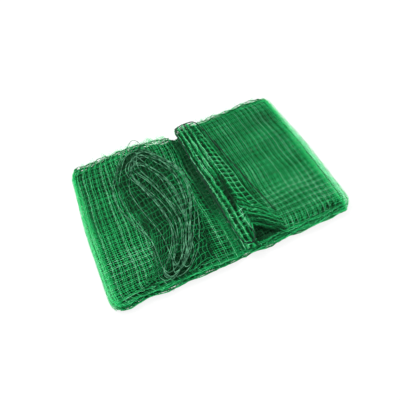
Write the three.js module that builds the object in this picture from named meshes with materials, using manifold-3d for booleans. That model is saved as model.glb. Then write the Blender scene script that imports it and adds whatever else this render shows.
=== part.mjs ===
// A folded pack of green protection netting, as it is sold: one long net folded back and forth
// into two halves that meet at a valley, a narrow strip doubled over on the right half with its
// border cord, and the spare cord wound into a loose hank on the left half.
// Millimetres, +Z up. X runs along the pack, from its left folds to its right folds, and Y from
// the front to the back. The origin is the middle of the flat underside.
import * as THREE from "three";
import { mergeVertices } from "three/addons/utils/BufferGeometryUtils.js";
import Module from "manifold-3d";

const { smoothstep, lerp, clamp } = THREE.MathUtils;
const wasm = await Module();
wasm.setup();

// The pack
const WIDTH = 375;
const NARROWING = 7; // how much less it reaches at the back, on either side
const DEPTH = 260;
const CORNER_ROUND = 11; // how far its corners are drawn in
const CORNER_DEPTH = 18;
const MESH = 10; // the net's own mesh, square
const SHEET = 2.4; // one layer of the netting, knots and slack threads included
const PITCH = 3.5; // from one layer to the next
const CLEAR = 0.3; // between two pieces that touch
const EDGE_SINK = 0.1; // how much flatter the pack is at its front and back edges
const EDGE_RUN = 30; // how far in from those edges it starts to flatten
const SWELL = 0.04; // how unevenly the right half swells

// The border cord and the hank
const CORD = 2;
const HANK_MIDDLE_Y = -1;
const HANK_HALF = 126; // half the hank's length
const HANK_RISE = 1.6; // the height of its rim

// Where the net turns back or ends, from the free end on the left half to the one on the strip.
// side says which edge the fold follows, and x is how far it is from that edge, or from X = 0.
const TURNS = [
  { side: "free", x: -6, lean: 0 },
  { side: "left", x: 0, lean: 0 },
  { side: "valley", x: -2, lean: 0.01 },
  { side: "left", x: 3, lean: 0 },
  { side: "right", x: 3.5, lean: 0 },
  { side: "left", x: 1.5, lean: 0 },
  { side: "right", x: 0, lean: 0 },
  { side: "valley", x: 11, lean: -0.02 },
  { side: "right", x: 2, lean: 0 },
  { side: "valley", x: 9, lean: -0.03 },
  { side: "strip", x: 34, lean: 0.01 },
  { side: "valley", x: 10, lean: -0.03 },
  { side: "free", x: 62, lean: -0.13 },
];

// The layers between those turns: the level each lies on, the Y of its front and back edges,
// and the number of steps along it.
const LAYERS = [
  { level: 5, front: -125, back: 129, steps: 8 },
  { level: 4, front: -128, back: 125, steps: 5 },
  { level: 3, front: -123, back: 128, steps: 5 },
  { level: 2, front: -127, back: 123, steps: 8 },
  { level: 1, front: -130, back: 120, steps: 8 },
  { level: 0, front: -126, back: 126, steps: 8 },
  { level: 3, front: -128, back: 124, steps: 5 },
  { level: 4, front: -125, back: 129, steps: 5 },
  { level: 5, front: -127, back: 127, steps: 8 },
  { level: 6, front: -128, back: 128, steps: 2 },
  { level: 7, front: -130, back: 130, steps: 2 },
  { level: 8, front: -129, back: 128, steps: 8 },
];
const LEFT_TOP = 0;
const RIGHT_TOP = 8;
const STRIP = 11;

// The strip steps down from the bundle at its fold, and its near corner is turned under
const STEP_FROM = 38;
const STEP_TO = 51;
const CORNER = { x: 40, y: -80, slope: -0.7, lift: 6, run: 40 };

// Shares of the depth at which the layers are shaped
const STATIONS = [0, 0.03, 0.08, 0.18, 0.34, 0.5, 0.66, 0.82, 0.92, 0.97, 1];
const FOLD_STEPS = 6;

// The hank's outline, from its foot to its top: share of the half length, the X of its middle
// line, and how wide it would be there if its ends weren't round.
const OUTLINE = [
  { share: -1, middle: -78, half: 82 },
  { share: -0.88, middle: -70, half: 82 },
  { share: -0.67, middle: -64, half: 58 },
  { share: -0.38, middle: -57, half: 49 },
  { share: -0.04, middle: -65, half: 52 },
  { share: 0.34, middle: -70, half: 59 },
  { share: 0.67, middle: -72, half: 53 },
  { share: 0.88, middle: -73, half: 43 },
  { share: 1, middle: -68, half: 40 },
];

// The hank's section from its middle to its rim: ridges of wound cord, with their heights
const RIDGES = [
  { share: 0, height: 2.6 },
  { share: 0.16, height: 3 },
  { share: 0.3, height: 4.8 },
  { share: 0.4, height: 2.8 },
  { share: 0.51, height: 5.2 },
  { share: 0.61, height: 3 },
  { share: 0.72, height: 5.4 },
  { share: 0.81, height: 3.2 },
  { share: 0.9, height: 4.6 },
  { share: 0.97, height: 3 },
];
const RIM_STEPS = 40;

// Main turns that stand out of the hank: the shares of its length at which each starts and
// ends, and the shares of its half width on the left and right, at its foot, waist and top.
const MAIN_TURNS = [
  { foot: -0.93, top: 0.95, left: [0.8, 0.9, 0.93], right: [0.3, 0.8, 0.93] },
  { foot: -0.86, top: 0.82, left: [0.7, 0.45, 0.76], right: [-0.1, 0.2, 0.7] },
  { foot: -0.9, top: 0.7, left: [0.5, 0.2, 0.55], right: [0.1, 0.1, 0.5] },
  { foot: -0.8, top: 0.9, left: [0.3, -0.1, 0.35], right: [0.55, 0.75, 0.88] },
];
const TURN_STEPS = 28;
const TURN_SIDES = 5;
const TURN_THICK = 4; // two or three turns side by side

// The slack turn that stands out past the back edge: the points that it passes
const SLACK_TURN = [
  { x: -105, y: 88, up: 2.2 },
  { x: -93, y: 110, up: 3.6 },
  { x: -82, y: 121, up: 4 },
  { x: -73, y: 131, up: 3.2 },
  { x: -63, y: 135, up: 2.8 },
  { x: -54, y: 130, up: 3.2 },
  { x: -47, y: 118, up: 3.8 },
  { x: -45, y: 100, up: 2.2 },
];
const SLACK_STEPS = 22;

// The border cord's route: along the strip's free side, over the bundle's far end, down its
// valley side and round its near end.
const CORD_ROUTE = [
  { by: "selvage", share: 0.05, out: 0.9, up: 0 },
  { by: "selvage", share: 0.16, out: 0.9, up: 0 },
  { by: "selvage", share: 0.3, out: 0.9, up: 0 },
  { by: "selvage", share: 0.43, out: 0.9, up: 0 },
  { by: "selvage", share: 0.58, out: 0.9, up: 0 },
  { by: "selvage", share: 0.7, out: 0.9, up: 0 },
  { by: "selvage", share: 0.79, out: 0.9, up: 0.4 },
  { by: "selvage", share: 0.86, out: 0.9, up: 3.4 },
  { by: "selvage", share: 0.92, out: -1, up: 3.8 },
  { by: "top", x: 45, y: 119, up: 1 },
  { by: "top", x: 42, y: 122, up: 1.2 },
  { by: "top", x: 38, y: 124.5, up: 0.8 },
  { by: "top", x: 32, y: 126, up: 0.2 },
  { by: "top", x: 22, y: 126, up: 0 },
  { by: "top", x: 13, y: 124, up: 0 },
  { by: "top", x: 8, y: 120, up: 0 },
  { by: "corner", y: 113, up: 0 },
  { by: "side", y: 100, level: 7.6 },
  { by: "side", y: 84, level: 7 },
  { by: "side", y: 58, level: 6.8 },
  { by: "side", y: 28, level: 7.1 },
  { by: "side", y: 0, level: 6.9 },
  { by: "side", y: -30, level: 7.2 },
  { by: "side", y: -60, level: 6.8 },
  { by: "side", y: -88, level: 7.1 },
  { by: "side", y: -104, level: 7.6 },
  { by: "corner", y: -114, up: 0 },
  { by: "top", x: 15, y: -122, up: 0 },
  { by: "top", x: 22, y: -125, up: 0 },
  { by: "top", x: 29, y: -123, up: 0 },
  { by: "top", x: 33, y: -114, up: 0 },
  { by: "top", x: 33, y: -98, up: 0 },
];
const ROUND_CORD_SIDES = 8;
const CORD_STEPS = 78;

// How high the layers stand at a place, as a share of their usual height
function swell(x, y) {
  const edge = EDGE_SINK * smoothstep(Math.abs(y), DEPTH / 2 - EDGE_RUN, DEPTH / 2);
  const waves = Math.sin(x / 31 + 0.6) * Math.cos(y / 44 + 0.4);
  return 1 - edge + SWELL * waves * smoothstep(x, 8, 40);
}

// The height of a level's middle surface
function levelHeight(level, x, y) {
  return SHEET / 2 + level * PITCH * swell(x, y);
}

// The near edge of the strip past the bundle, where its corner is turned under
function cornerEdge(x) {
  return CORNER.y + CORNER.slope * (x - CORNER.x);
}

// The height of a layer's middle surface, with the strip's step and turned corner
function layerHeight(index, x, y) {
  const { level } = LAYERS[index];
  if (index !== STRIP) {
    return levelHeight(level, x, y);
  }
  const down = 2 * smoothstep(x, STEP_FROM, STEP_TO);
  const near = 1 - smoothstep(y - cornerEdge(x), 0, CORNER.run);
  const lift = CORNER.lift * near * smoothstep(x, STEP_FROM, STEP_TO);
  return levelHeight(level - down, x, y) + lift;
}

// How far the pack reaches to either side at a place along its depth
function halfWidth(y) {
  const corner = Math.max(0, (Math.abs(y) - DEPTH / 2 + CORNER_DEPTH) / CORNER_DEPTH);
  return WIDTH / 2 - NARROWING * smoothstep(y, -10, DEPTH / 2) - CORNER_ROUND * corner * corner;
}

// The X of the turn at the end of a layer, for a place along the depth
function turnX(turn, y) {
  const half = halfWidth(y);
  if (turn.side === "left") {
    return -half + turn.x * (1 + 0.25 * Math.sin(y / 23));
  }
  if (turn.side === "right") {
    return half - turn.x;
  }
  return turn.x + turn.lean * y;
}

// The Y of a layer's front or back edge, which is ragged and drawn in at the valley
function layerEdge(index, x, share) {
  const layer = LAYERS[index];
  const ragged = 1.5 * Math.sin(x / 8.5 + 2.1 * layer.level);
  const dip = layer.level > 5 ? 0 : 12 * Math.exp(-(((x + 16) / 26) ** 2));
  let front = layer.front - ragged;
  if (index === STRIP) {
    front = lerp(front, cornerEdge(x), smoothstep(x, STEP_FROM - 5, STEP_FROM + 1));
  }
  const back = layer.back + ragged - dip;
  return clamp(lerp(front, back, share), -DEPTH / 2, DEPTH / 2);
}

// The middle line of the whole folded net at one station: places with x, y and z
function foldedLine(share) {
  const y = (share - 0.5) * DEPTH;
  const line = [];
  const radii = LAYERS.slice(1).map((layer, i) => {
    return (Math.abs(layer.level - LAYERS[i].level) * PITCH) / 2;
  });
  // where a layer's flat part ends: a fold's apex less the fold's own radius
  const flatEnd = TURNS.map((turn, i) => {
    const apex = turnX(turn, y);
    if (turn.side === "free") {
      return apex;
    }
    const out = turnsRight(i) ? 1 : -1;
    return apex - out * (radii[i - 1] + SHEET / 2);
  });
  LAYERS.forEach((layer, k) => {
    const near = flatEnd[k];
    const far = flatEnd[k + 1];
    for (let i = 0; i <= layer.steps; i += 1) {
      const x = lerp(near, far, i / layer.steps);
      line.push({ x, y: layerEdge(k, x, share), z: layerHeight(k, x, y) });
    }
    if (k === LAYERS.length - 1) {
      return;
    }
    const out = turnsRight(k + 1) ? 1 : -1;
    const low = layerHeight(k, far, y);
    const high = layerHeight(k + 1, far, y);
    for (let i = 1; i < FOLD_STEPS; i += 1) {
      const turned = i / FOLD_STEPS;
      const angle = Math.PI * turned;
      line.push({
        x: far + out * radii[k] * Math.sin(angle),
        y: lerp(layerEdge(k, far, share), layerEdge(k + 1, far, share), turned),
        z: lerp(low, high, (1 - Math.cos(angle)) / 2),
      });
    }
  });
  return line;
}

// Whether the fold at the end of a layer bulges to the right
function turnsRight(index) {
  const before = TURNS[index - 1];
  return turnX(TURNS[index], 0) > turnX(before, 0);
}

// The two faces of the net at one station: each point of the middle line, moved half the
// sheet's thickness to either side in the plane of the section
function faces(line) {
  const above = [];
  const below = [];
  line.forEach((point, i) => {
    const before = line[Math.max(i - 1, 0)];
    const after = line[Math.min(i + 1, line.length - 1)];
    const along = new THREE.Vector2(after.x - before.x, after.z - before.z).normalize();
    const dx = (-along.y * SHEET) / 2;
    const dz = (along.x * SHEET) / 2;
    above.push([point.x + dx, point.y, point.z + dz]);
    below.push([point.x - dx, point.y, point.z - dz]);
  });
  return [above, below];
}

// A geometry from points and triangles
function geometryOf(points, triangles) {
  const geometry = new THREE.BufferGeometry();
  geometry.setAttribute("position", new THREE.Float32BufferAttribute(points.flat(), 3));
  geometry.setIndex(triangles.flat());
  return geometry;
}

// A solid from a closed geometry, turned outside out if its faces point inwards
function solidOf(geometry) {
  const bare = geometry.clone();
  bare.deleteAttribute("normal");
  bare.deleteAttribute("uv");
  const merged = mergeVertices(bare, 1e-4);
  const vertProperties = new Float32Array(merged.attributes.position.array);
  const triVerts = new Uint32Array(merged.index.array);
  const solid = new wasm.Manifold(new wasm.Mesh({ numProp: 3, vertProperties, triVerts }));
  if (solid.volume() > 0) {
    return solid;
  }
  const turned = triVerts.slice();
  for (let i = 0; i < turned.length; i += 3) {
    [turned[i], turned[i + 1]] = [turned[i + 1], turned[i]];
  }
  return new wasm.Manifold(new wasm.Mesh({ numProp: 3, vertProperties, triVerts: turned }));
}

// A solid's surface as a geometry
function geometryFrom(solid) {
  const mesh = solid.getMesh();
  const geometry = new THREE.BufferGeometry();
  geometry.setAttribute("position", new THREE.BufferAttribute(mesh.vertProperties, 3));
  geometry.setIndex(new THREE.BufferAttribute(mesh.triVerts, 1));
  return geometry;
}

// The folded net as one closed skin: both faces, the front and back edges and the free ends
function foldedNet() {
  const rows = STATIONS.map((share) => faces(foldedLine(share)));
  const count = rows[0][0].length;
  const points = rows.flatMap(([above, below]) => [...above, ...below]);
  const at = (station, face, i) => station * 2 * count + face * count + i;
  const triangles = [];
  const quad = (a, b, c, d) => triangles.push([a, b, c], [a, c, d]);
  const last = STATIONS.length - 1;
  for (let s = 0; s < last; s += 1) {
    for (let i = 0; i < count - 1; i += 1) {
      quad(at(s, 0, i), at(s + 1, 0, i), at(s + 1, 0, i + 1), at(s, 0, i + 1));
      quad(at(s, 1, i), at(s, 1, i + 1), at(s + 1, 1, i + 1), at(s + 1, 1, i));
    }
    quad(at(s, 0, 0), at(s, 1, 0), at(s + 1, 1, 0), at(s + 1, 0, 0));
    const end = count - 1;
    quad(at(s, 0, end), at(s + 1, 0, end), at(s + 1, 1, end), at(s, 1, end));
  }
  for (let i = 0; i < count - 1; i += 1) {
    quad(at(0, 0, i), at(0, 0, i + 1), at(0, 1, i + 1), at(0, 1, i));
    quad(at(last, 0, i), at(last, 1, i), at(last, 1, i + 1), at(last, 0, i + 1));
  }
  return solidOf(geometryOf(points, triangles));
}

// Openings through the layers that show on top, at twice the net's own mesh
const OPENING_PITCH = 2 * MESH;
const OPENING = 15;
const RIM = 7; // left whole inside a layer's edges
const OPEN_FIELDS = [
  { layer: LEFT_TOP, from: -178, to: -12 },
  { layer: RIGHT_TOP, from: 70, to: 178 },
  { layer: STRIP, from: 14, to: 34 },
];

// A cutter for one opening: a box whose underside follows the layer, midway to the next one
function openingCutter(layer, x, y) {
  const box = new THREE.BoxGeometry(OPENING, OPENING, 2);
  const position = box.attributes.position;
  for (let i = 0; i < position.count; i += 1) {
    const px = x + position.getX(i);
    const py = y + position.getY(i);
    const middle = layerHeight(layer, px, py);
    const away = SHEET / 2 + (PITCH - SHEET) / 2;
    position.setXYZ(i, px, py, position.getZ(i) > 0 ? middle + 3 * SHEET : middle - away);
  }
  return solidOf(box);
}

// The centres of the openings in a field, inside the layer's own edges
function openingCentres({ layer, from, to }) {
  const centres = [];
  const columns = Math.max(1, Math.floor((to - from) / OPENING_PITCH));
  for (let c = 0; c < columns; c += 1) {
    const x = (from + to) / 2 + (c - (columns - 1) / 2) * OPENING_PITCH;
    for (let r = -6; r <= 6; r += 1) {
      const y = r * OPENING_PITCH;
      const inFront = y - OPENING / 2 > layerEdge(layer, x, 0) + RIM;
      const inBack = y + OPENING / 2 < layerEdge(layer, x, 1) - RIM;
      if (inFront && inBack && Math.abs(x) + OPENING / 2 < halfWidth(y) - RIM) {
        centres.push([x, y]);
      }
    }
  }
  return centres;
}

function openNet() {
  const cutters = OPEN_FIELDS.flatMap((field) => {
    return openingCentres(field).map(([x, y]) => openingCutter(field.layer, x, y));
  });
  return foldedNet().subtract(wasm.Manifold.union(cutters));
}

// Where a turn of the hank passes at an angle round it. The widths are blended from foot to top.
function hankPlace(share, side) {
  const rows = OUTLINE;
  const next = Math.max(1, rows.findIndex((row) => row.share >= share));
  const [low, high] = [rows[next - 1], rows[next]];
  const t = smoothstep(share, low.share, high.share);
  const middle = lerp(low.middle, high.middle, t);
  const half = lerp(low.half, high.half, t) * Math.sqrt(Math.max(0, 1 - share ** 4));
  return new THREE.Vector2(middle + side * half, HANK_MIDDLE_Y + share * HANK_HALF);
}

// The top of the left half, on which the hank lies
const HANK_FLOOR = levelHeight(LAYERS[LEFT_TOP].level, -60, 0) + SHEET / 2 + CLEAR;

// The hank's mat: rings of points from its middle to its rim, ridged where the cord is wound
function hankMat() {
  const points = [[...hankPlace(0, 0).toArray(), HANK_FLOOR + RIDGES[0].height]];
  const triangles = [];
  const ring = (share, z) => {
    for (let i = 0; i < RIM_STEPS; i += 1) {
      const angle = (i / RIM_STEPS) * 2 * Math.PI;
      const up = Math.sign(Math.sin(angle)) * Math.sqrt(Math.abs(Math.sin(angle))) * 0.985;
      const rim = hankPlace(up, Math.cos(angle) / Math.sqrt(1 - up ** 4));
      const lump = 1 + 0.14 * Math.sin(3 * angle + 9 * share) + 0.08 * Math.sin(7 * angle);
      const spot = hankPlace(0, 0).lerp(rim, share);
      points.push([spot.x, spot.y, HANK_FLOOR + z * (z > HANK_RISE ? lump : 1)]);
    }
  };
  RIDGES.slice(1).forEach(({ share, height }) => ring(share, height));
  ring(1, HANK_RISE);
  ring(0.985, 0);
  const rings = RIDGES.length + 1;
  const at = (r, i) => 1 + r * RIM_STEPS + (i % RIM_STEPS);
  for (let i = 0; i < RIM_STEPS; i += 1) {
    triangles.push([0, at(0, i), at(0, i + 1)]);
    for (let r = 0; r < rings - 1; r += 1) {
      triangles.push([at(r, i), at(r + 1, i), at(r + 1, i + 1)]);
      triangles.push([at(r, i), at(r + 1, i + 1), at(r, i + 1)]);
    }
  }
  const under = points.push([...hankPlace(0, 0).toArray(), HANK_FLOOR]) - 1;
  for (let i = 0; i < RIM_STEPS; i += 1) {
    triangles.push([under, at(rings - 1, i + 1), at(rings - 1, i)]);
  }
  return solidOf(geometryOf(points, triangles));
}

// A share that is given at the foot, waist and top of a turn
function shareAlong([foot, waist, top], share) {
  const below = smoothstep(share, -1, 0);
  const above = smoothstep(share, 0, 1);
  return lerp(lerp(foot, waist, below), top, above);
}

// A round-sided tube along a curve
function tube(curve, thick, sides, steps) {
  const outline = Array.from({ length: sides }, (_, i) => {
    const angle = (i / sides) * 2 * Math.PI;
    return new THREE.Vector2((Math.cos(angle) * thick) / 2, (Math.sin(angle) * thick) / 2);
  });
  const options = { steps, bevelEnabled: false, extrudePath: curve };
  return solidOf(new THREE.ExtrudeGeometry(new THREE.Shape(outline), options));
}

// One main turn of the hank, sunk for the most part in the mat
function mainTurn({ foot, top, left, right }, order) {
  const points = [];
  for (let i = 0; i <= TURN_STEPS; i += 1) {
    const angle = (i / TURN_STEPS) * 2 * Math.PI;
    const lift = Math.sign(Math.sin(angle)) * Math.sqrt(Math.abs(Math.sin(angle)));
    const share = lerp(foot, top, (lift + 1) / 2);
    const wide = Math.abs(Math.cos(angle)) / Math.sqrt(1 - share ** 4);
    const side = Math.cos(angle) > 0 ? shareAlong(right, share) : -shareAlong(left, share);
    const spot = hankPlace(share, side * wide);
    const z = HANK_FLOOR + 3.6 + 0.8 * order + 0.8 * Math.sin(2 * angle + order);
    points.push(new THREE.Vector3(spot.x, spot.y, z));
  }
  const curve = new THREE.CatmullRomCurve3(points.slice(0, -1), true);
  const start = curve.getPointAt(0);
  const end = curve.getPointAt(0.999);
  const open = new THREE.CatmullRomCurve3([...curve.getSpacedPoints(TURN_STEPS).slice(0, -1), end]);
  const joint = new THREE.SphereGeometry(TURN_THICK / 2, TURN_SIDES, 5).translate(...start.toArray());
  return tube(open, TURN_THICK, TURN_SIDES, TURN_STEPS).add(solidOf(joint));
}

// The slack turn past the back edge, one cord thick
function slackTurn() {
  const places = SLACK_TURN.map(({ x, y, up }) => new THREE.Vector3(x, y, HANK_FLOOR + up));
  return tube(new THREE.CatmullRomCurve3(places), CORD, ROUND_CORD_SIDES, SLACK_STEPS);
}

// The wound form, without the sealed pockets that can be left where a turn crosses a ridge
function cordHank() {
  const wound = wasm.Manifold.union([hankMat(), slackTurn(), ...MAIN_TURNS.map(mainTurn)]);
  return wound.decompose().reduce((a, b) => (a.volume() > b.volume() ? a : b));
}

// A place on the border cord's route
function cordPlace(row) {
  const half = CORD / 2;
  if (row.by === "selvage") {
    const edge = foldedLine(row.share).at(-1);
    return [edge.x + half + row.out, edge.y, edge.z - 0.7 + row.up];
  }
  if (row.by === "side") {
    const x = turnX(TURNS.at(-2), row.y) - half - 3 * CLEAR;
    return [x, row.y, levelHeight(row.level, x, row.y)];
  }
  const x = row.by === "corner" ? turnX(TURNS.at(-2), row.y) - half - 3 * CLEAR : row.x;
  return [x, row.y, layerHeight(STRIP, x, row.y) + SHEET / 2 + half + 2 * CLEAR + row.up];
}

// The border cord, from the strip's near corner to the hollow beside the bundle's near end
function borderCord() {
  const places = CORD_ROUTE.map((row) => new THREE.Vector3(...cordPlace(row)));
  const curve = new THREE.CatmullRomCurve3(places, false, "centripetal");
  return tube(curve, CORD, ROUND_CORD_SIDES, CORD_STEPS);
}

const NET_GREEN = new THREE.MeshStandardMaterial({ color: 0x0f8a42, roughness: 0.5, metalness: 0 });
const CORD_GREEN = new THREE.MeshStandardMaterial({ color: 0x0c3a22, roughness: 0.6, metalness: 0 });
const HANK_GREEN = new THREE.MeshStandardMaterial({ color: 0x3f8f63, roughness: 0.6, metalness: 0 });

function piece(name, solid, material) {
  const mesh = new THREE.Mesh(geometryFrom(solid), material);
  mesh.name = name;
  return mesh;
}

const pack = new THREE.Group();
pack.add(piece("net", openNet(), NET_GREEN));
pack.add(piece("border_cord", borderCord(), CORD_GREEN));
pack.add(piece("cord_hank", cordHank(), HANK_GREEN));

export default pack;
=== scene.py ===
"""A folded pack of green protection netting: the net's layers as knotted lattice, the hank of
cord and gathered net on its left half, and the border cord of the strip on its right half.

Lengths in the tables below are millimetres in the frame's axes; meshes are made in metres.
A pair named as a range, such as STEP, is where something starts and where it is complete.
"""
import math

import bpy
import numpy as np
from mathutils import Matrix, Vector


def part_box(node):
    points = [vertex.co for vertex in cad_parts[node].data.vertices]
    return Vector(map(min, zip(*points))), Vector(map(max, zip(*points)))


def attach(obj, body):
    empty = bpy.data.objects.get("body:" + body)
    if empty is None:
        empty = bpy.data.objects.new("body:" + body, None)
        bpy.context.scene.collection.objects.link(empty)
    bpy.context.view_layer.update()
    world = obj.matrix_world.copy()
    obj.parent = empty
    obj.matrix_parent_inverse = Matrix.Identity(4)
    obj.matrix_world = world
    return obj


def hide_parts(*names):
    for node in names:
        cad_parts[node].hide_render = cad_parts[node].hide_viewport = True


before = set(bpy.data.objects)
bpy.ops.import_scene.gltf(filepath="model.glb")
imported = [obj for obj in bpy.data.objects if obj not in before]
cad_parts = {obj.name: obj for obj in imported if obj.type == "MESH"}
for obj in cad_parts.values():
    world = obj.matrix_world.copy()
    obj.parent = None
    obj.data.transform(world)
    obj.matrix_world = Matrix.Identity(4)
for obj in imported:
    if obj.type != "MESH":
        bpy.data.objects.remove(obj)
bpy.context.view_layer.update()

MM = 0.001
FLOOR_CLEAR = 0.6  # no thread's middle lies lower than this
RNG = np.random.default_rng(7)


# Camera and light

CAMERA_LENS = 40.5  # for a sensor 36 mm wide
CAMERA_AZIMUTH, CAMERA_ELEVATION, CAMERA_ROLL = -15.47, 56.35, -10.0
CAMERA_DISTANCE = 709.5
CAMERA_TARGET = np.array([-7.56, -8.48, 0.0])
LIGHTS = [
    # name, place and size in metres, power in watts
    ("key", (-0.5, 0.6, 1.3), 0.8, 26.0),
    ("fill", (0.9, -0.5, 1.2), 1.0, 9.0),
]
WHITE = (1, 1, 1, 1)


def new_object(name, data):
    """An object in the scene."""
    made = bpy.data.objects.new(name, data)
    bpy.context.scene.collection.objects.link(made)
    return made


def set_inputs(node, values):
    for name, value in values.items():
        node.inputs[name].default_value = value


def make_camera():
    """A camera in front of the pack and above it, a little to the left, and tilted."""
    azimuth, elevation, roll = np.radians((CAMERA_AZIMUTH, CAMERA_ELEVATION, CAMERA_ROLL))
    flat = math.cos(elevation)
    back = np.array([math.sin(azimuth) * flat, -math.cos(azimuth) * flat, math.sin(elevation)])
    level_right = np.array([math.cos(azimuth), math.sin(azimuth), 0.0])
    level_up = np.cross(back, level_right)
    right = level_right * math.cos(roll) + level_up * math.sin(roll)
    up = -level_right * math.sin(roll) + level_up * math.cos(roll)
    place = (CAMERA_TARGET + back * CAMERA_DISTANCE) * MM
    data = bpy.data.cameras.new("camera")
    data.sensor_width = 36.0
    data.lens = CAMERA_LENS
    camera = new_object("camera", data)
    rows = np.eye(4)
    rows[:3, 0], rows[:3, 1], rows[:3, 2], rows[:3, 3] = right, up, back, place
    camera.matrix_world = Matrix(rows.tolist())
    bpy.context.scene.camera = camera


def area_light(name, place, size, power):
    """A soft light that looks at the pack."""
    data = bpy.data.lights.new(name, "AREA")
    data.shape = "DISK"
    data.size = size
    data.energy = power
    light = new_object(name, data)
    light.location = place
    aim = -light.location
    light.rotation_euler = aim.to_track_quat("-Z", "Y").to_euler()


def make_floor():
    """A white floor with a little light of its own."""
    bpy.ops.mesh.primitive_plane_add(size=8.0)
    floor = bpy.context.object
    floor.name = "floor"
    material = bpy.data.materials.new("floor_white")
    material.use_nodes = True
    body = {"Base Color": (0.1, 0.1, 0.1, 1), "Roughness": 0.8}
    glow = {"Emission Color": WHITE, "Emission Strength": 0.82}
    set_inputs(material.node_tree.nodes["Principled BSDF"], body | glow)
    floor.data.materials.append(material)


def make_studio():
    """The floor, an even white sky and the soft lights."""
    scene = bpy.context.scene
    scene.view_settings.view_transform = "Standard"
    world = bpy.data.worlds.new("studio")
    world.use_nodes = True
    set_inputs(world.node_tree.nodes["Background"], {"Strength": 1.0, "Color": WHITE})
    scene.world = world
    for light in LIGHTS:
        area_light(*light)
    make_floor()


# Materials

# The net's colours by a thread's shade, which holds painted light and shade: the darkest stops are
# painted shadow and the palest a painted highlight; and how far a colour wanders along that scale
NET_STOPS = [
    (0.10, (0.0005, 0.030, 0.008)),
    (0.32, (0.002, 0.12, 0.032)),
    (0.60, (0.012, 0.54, 0.15)),
    (0.80, (0.045, 0.68, 0.23)),
    (1.00, (0.30, 0.84, 0.52)),
]
NET_WANDER = 0.16
# The cords' dark and light colours, how finely they alternate, and where one gives way; the hank's
# cord varies at random in its own tone, and its light colour is a painted highlight
HANK_COLOURS = ((0.003, 0.045, 0.017), (0.095, 0.30, 0.165), 150.0)
BORDER_COLOURS = ((0.001, 0.018, 0.008), (0.004, 0.035, 0.016), 55.0)
CORD_RAMP = (0.35, 0.65)
THROUGH_TINT = (1.0, 1.2, 0.9, 1)  # light that has come through a thread is greener


def object_noise(nodes, links, scale):
    """A noise texture fixed to the piece."""
    coordinates = nodes.new("ShaderNodeTexCoord")
    texture = nodes.new("ShaderNodeTexNoise")
    set_inputs(texture, {"Scale": scale})
    links.new(coordinates.outputs["Object"], texture.inputs["Vector"])
    return texture


def colour_ramp(nodes, stops):
    """A ramp through colours. stops are (place, colour)."""
    ramp = nodes.new("ShaderNodeValToRGB")
    for _ in stops[2:]:
        ramp.color_ramp.elements.new(0.5)
    for element, (place, colour) in zip(ramp.color_ramp.elements, stops):
        element.position = place
        element.color = (*colour, 1)
    return ramp


def cord_colour(nodes, links, dark, light, scale):
    """A colour that wanders between two over the cord."""
    texture = object_noise(nodes, links, scale)
    set_inputs(texture, {"Detail": 3.0})
    ramp = colour_ramp(nodes, list(zip(CORD_RAMP, (dark, light))))
    links.new(texture.outputs["Fac"], ramp.inputs["Fac"])
    return ramp.outputs["Color"]


def net_colour(nodes, links):
    """A colour by the thread's shade attribute, which holds painted light and shade, wandering a
    little.
    """
    shade = nodes.new("ShaderNodeAttribute")
    shade.attribute_name = "shade"
    texture = object_noise(nodes, links, 55.0)
    spread = nodes.new("ShaderNodeMath")
    spread.operation = "MULTIPLY_ADD"
    set_inputs(spread, {1: NET_WANDER})
    spread.use_clamp = True
    links.new(texture.outputs["Fac"], spread.inputs[0])
    links.new(shade.outputs["Fac"], spread.inputs[2])
    ramp = colour_ramp(nodes, NET_STOPS)
    links.new(spread.outputs[0], ramp.inputs["Fac"])
    return ramp.outputs["Color"]


def thread_material(name, colour_of, translucent, roughness, specular, colours=()):
    """Polyethylene thread: a satin body that lets some light through. colour_of makes the
    colour's nodes, from the colours."""
    material = bpy.data.materials.new(name)
    material.use_nodes = True
    nodes, links = material.node_tree.nodes, material.node_tree.links
    shader = nodes["Principled BSDF"]
    set_inputs(shader, {"Roughness": roughness, "Specular IOR Level": specular})
    colour = colour_of(nodes, links, *colours)
    links.new(colour, shader.inputs["Base Color"])
    fibres = nodes.new("ShaderNodeTexNoise")
    set_inputs(fibres, {"Scale": 2600.0})
    bump = nodes.new("ShaderNodeBump")
    set_inputs(bump, {"Strength": 0.35, "Distance": 0.0002})
    links.new(fibres.outputs["Fac"], bump.inputs["Height"])
    links.new(bump.outputs["Normal"], shader.inputs["Normal"])
    through = nodes.new("ShaderNodeBsdfTranslucent")
    tint = nodes.new("ShaderNodeMixRGB")
    tint.blend_type = "MULTIPLY"
    set_inputs(tint, {"Fac": 1.0, 2: THROUGH_TINT})
    links.new(colour, tint.inputs[1])
    links.new(tint.outputs[0], through.inputs["Color"])
    mix = nodes.new("ShaderNodeMixShader")
    set_inputs(mix, {"Fac": translucent})
    links.new(shader.outputs["BSDF"], mix.inputs[1])
    links.new(through.outputs["BSDF"], mix.inputs[2])
    links.new(mix.outputs["Shader"], nodes["Material Output"].inputs["Surface"])
    return material


# Strands

SIDES = 3  # of a thread
X_AXIS, Y_AXIS, Z_AXIS = (1, 0, 0), (0, 1, 0), (0, 0, 1)


def strand_faces(points, radii, across):
    """The ring corners and quads of one strand. across is a direction that it never runs in."""
    ahead = np.gradient(points, axis=0)
    ahead /= np.linalg.norm(ahead, axis=1, keepdims=True) + 1e-12
    one = np.cross(ahead, across)
    one /= np.linalg.norm(one, axis=1, keepdims=True) + 1e-12
    two = np.cross(ahead, one)
    angles = (np.arange(SIDES) + 0.5) / SIDES * 2 * math.pi
    around = np.cos(angles)[:, None] * one[:, None] + np.sin(angles)[:, None] * two[:, None]
    ring = points[:, None] + radii[:, None, None] * around
    base = np.arange(len(points) - 1)[:, None] * SIDES
    near = base + np.arange(SIDES)[None, :]
    next_side = base + (np.arange(SIDES)[None, :] + 1) % SIDES
    quads = np.stack([near, next_side, next_side + SIDES, near + SIDES], axis=-1)
    return ring.reshape(-1, 3), quads.reshape(-1, 4)


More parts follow.
